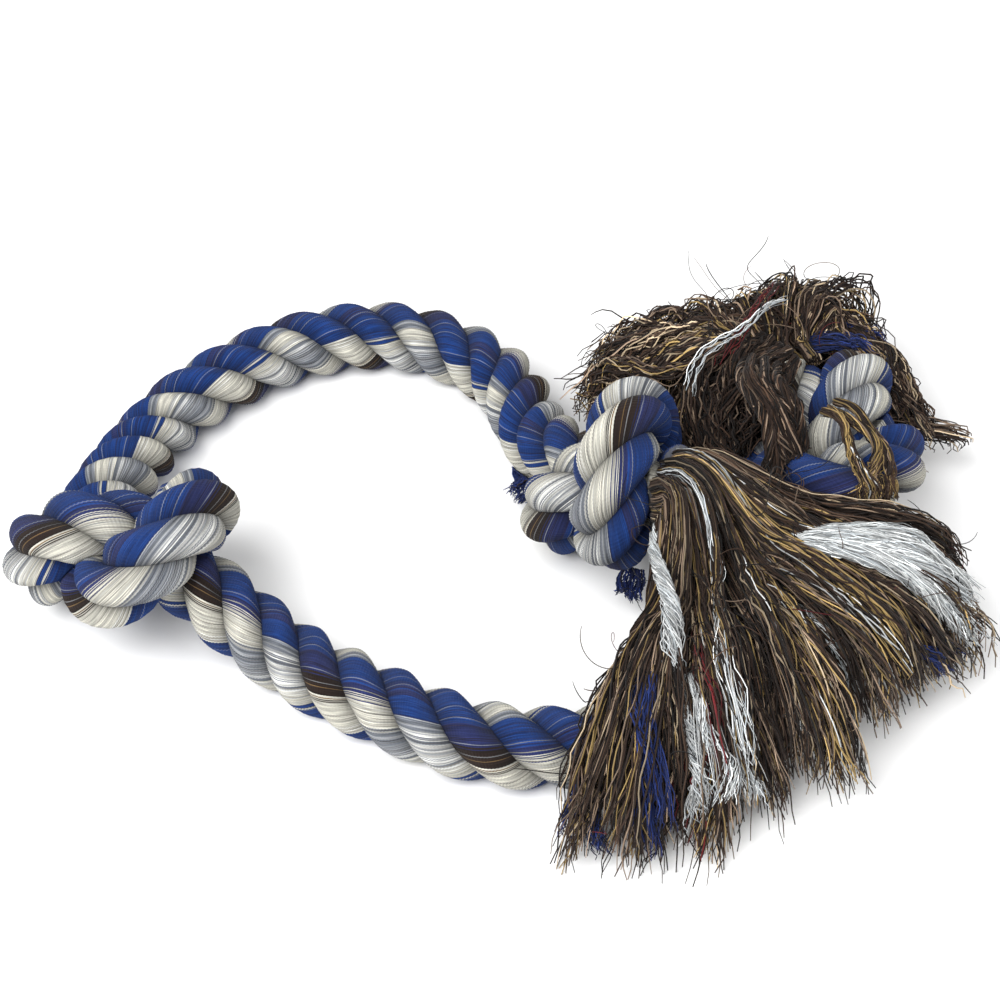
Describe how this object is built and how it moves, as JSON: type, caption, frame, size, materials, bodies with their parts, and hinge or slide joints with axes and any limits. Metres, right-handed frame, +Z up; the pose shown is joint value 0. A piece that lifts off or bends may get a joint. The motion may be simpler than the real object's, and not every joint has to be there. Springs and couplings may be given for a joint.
{
  "type": "rope dog toy",
  "caption": "Thick laid cotton rope tug toy for dogs, bent into an open loop, knotted in the middle and near both ends, with the ends frayed into yarn tassels.",
  "frame": {"origin": "on the floor, at the flat under the lowest turn of the middle knot", "axes": "+Z up from the floor, +X from the middle knot towards the tassels, +Y from the front arm towards the back arm"},
  "size_m": [0.3059, 0.2373, 0.0742],
  "materials": {
    "strand_blue": "matte twisted cotton",
    "strand_cream": "matte twisted cotton",
    "strand_grey": "matte twisted cotton",
    "tassel_a_yarn": "matte frayed yarn",
    "tassel_b_yarn": "matte frayed yarn"
  },
  "bodies": {
    "middle": {"middle_strand_1": "strand_blue", "middle_strand_2": "strand_cream", "middle_strand_3": "strand_grey"},
    "front_arm": {"front_arm_strand_1": "strand_blue", "front_arm_strand_2": "strand_cream", "front_arm_strand_3": "strand_grey"},
    "back_arm": {"back_arm_strand_1": "strand_blue", "back_arm_strand_2": "strand_cream", "back_arm_strand_3": "strand_grey"},
    "knot_a": {"knot_a_strand_1": "strand_blue", "knot_a_strand_2": "strand_cream", "knot_a_strand_3": "strand_grey"},
    "knot_b": {"knot_b_strand_1": "strand_blue", "knot_b_strand_2": "strand_cream", "knot_b_strand_3": "strand_grey"},
    "tassel_a_left_tuft": {"tassel_a_left": "tassel_a_yarn"},
    "tassel_a_front_tuft": {"tassel_a_front": "tassel_a_yarn"},
    "tassel_a_main_tuft": {"tassel_a_main": "tassel_a_yarn"},
    "tassel_a_right_tuft": {"tassel_a_right": "tassel_a_yarn"},
    "tassel_b_right_tuft": {"tassel_b_right": "tassel_b_yarn"},
    "tassel_b_back_tuft": {"tassel_b_back": "tassel_b_yarn"},
    "tassel_b_left_tuft": {"tassel_b_left": "tassel_b_yarn"}
  },
  "joints": [
    {"name": "front_arm_fold", "type": "hinge", "parent": "middle", "child": "front_arm", "pos_m": [0.08638, -0.05681, 0.026], "axis": [0, -1, 0], "range_deg": [0, 60]},
    {"name": "back_arm_fold", "type": "hinge", "parent": "middle", "child": "back_arm", "pos_m": [0.08638, 0.11259, 0.026], "axis": [0, -1, 0], "range_deg": [0, 60]},
    {"name": "knot_a_lift", "type": "hinge", "parent": "back_arm", "child": "knot_a", "pos_m": [0.14281, 0.04636, 0.03334], "axis": [-0.8147, -0.5798, 0], "range_deg": [0, 30]},
    {"name": "knot_b_lift", "type": "hinge", "parent": "front_arm", "child": "knot_b", "pos_m": [0.24517, -0.00434, 0.02764], "axis": [0.9792, 0.203, 0], "range_deg": [0, 30]},
    {"name": "tassel_a_left_lift", "type": "hinge", "parent": "knot_a", "child": "tassel_a_left_tuft", "pos_m": [0.17988, -0.00243, 0.05859], "axis": [-0.7343, -0.6788, 0], "range_deg": [0, 30]},
    {"name": "tassel_a_front_lift", "type": "hinge", "parent": "knot_a", "child": "tassel_a_front_tuft", "pos_m": [0.17988, -0.00243, 0.05859], "axis": [-0.7343, -0.6788, 0], "range_deg": [0, 30]},
    {"name": "tassel_a_main_lift", "type": "hinge", "parent": "knot_a", "child": "tassel_a_main_tuft", "pos_m": [0.17988, -0.00243, 0.05859], "axis": [-0.7343, -0.6788, 0], "range_deg": [0, 30]},
    {"name": "tassel_a_right_lift", "type": "hinge", "parent": "knot_a", "child": "tassel_a_right_tuft", "pos_m": [0.17988, -0.00243, 0.05859], "axis": [-0.7343, -0.6788, 0], "range_deg": [0, 30]},
    {"name": "tassel_b_right_lift", "type": "hinge", "parent": "knot_b", "child": "tassel_b_right_tuft", "pos_m": [0.22636, 0.06274, 0.04183], "axis": [0.9336, 0.3583, 0], "range_deg": [0, 30]},
    {"name": "tassel_b_back_lift", "type": "hinge", "parent": "knot_b", "child": "tassel_b_back_tuft", "pos_m": [0.22636, 0.06274, 0.04183], "axis": [0.9336, 0.3583, 0], "range_deg": [0, 30]},
    {"name": "tassel_b_left_lift", "type": "hinge", "parent": "knot_b", "child": "tassel_b_left_tuft", "pos_m": [0.22636, 0.06274, 0.04183], "axis": [0.9336, 0.3583, 0], "range_deg": [0, 30]}
  ],
  "couplings": [
    {"joint": "back_arm_fold", "follows": "front_arm_fold", "ratio": 1}
  ]
}
